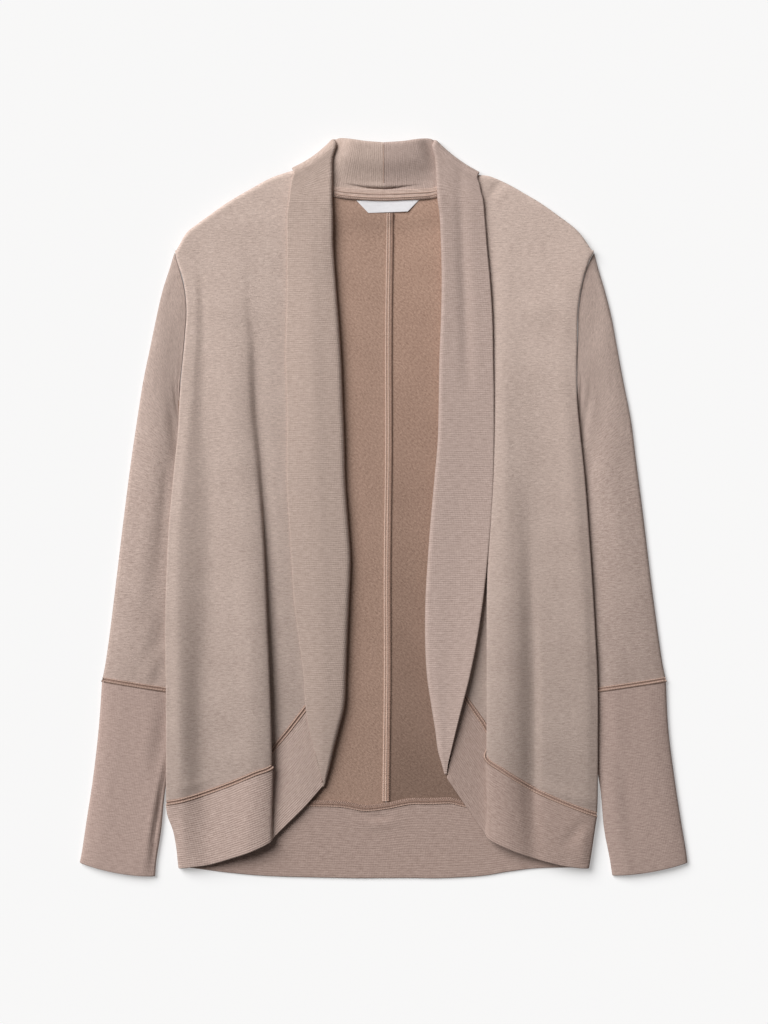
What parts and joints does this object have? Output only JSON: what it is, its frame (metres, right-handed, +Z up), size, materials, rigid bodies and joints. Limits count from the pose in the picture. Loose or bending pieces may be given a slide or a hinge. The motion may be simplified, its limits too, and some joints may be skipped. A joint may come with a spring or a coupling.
{
  "type": "open-front cardigan",
  "caption": "Open-front cardigan with a wide shawl collar, long sleeves and ribbed hem and cuffs, laid flat.",
  "frame": {"origin": "centre of the garment's outline, on the surface it lies on", "axes": "+Z up from the surface, +Y toward the neck, +X to the right of a viewer looking down at the front"},
  "size_m": [0.6074, 0.7389, 0.0167],
  "materials": {
    "body_knit": "matte",
    "rib_knit": "matte",
    "seam_tape": "matte",
    "woven_label": "matte"
  },
  "bodies": {
    "root": {"back_left": "body_knit", "back_right": "body_knit", "front_left": "body_knit", "front_right": "body_knit", "sleeve_left": "body_knit", "sleeve_right": "body_knit", "cuff_left": "rib_knit", "cuff_right": "rib_knit", "hem_front_left": "rib_knit", "hem_front_right": "rib_knit", "hem_back": "rib_knit", "collar_left": "rib_knit", "collar_right": "rib_knit", "neck_tape": "seam_tape", "label": "woven_label"}
  },
  "joints": []
}
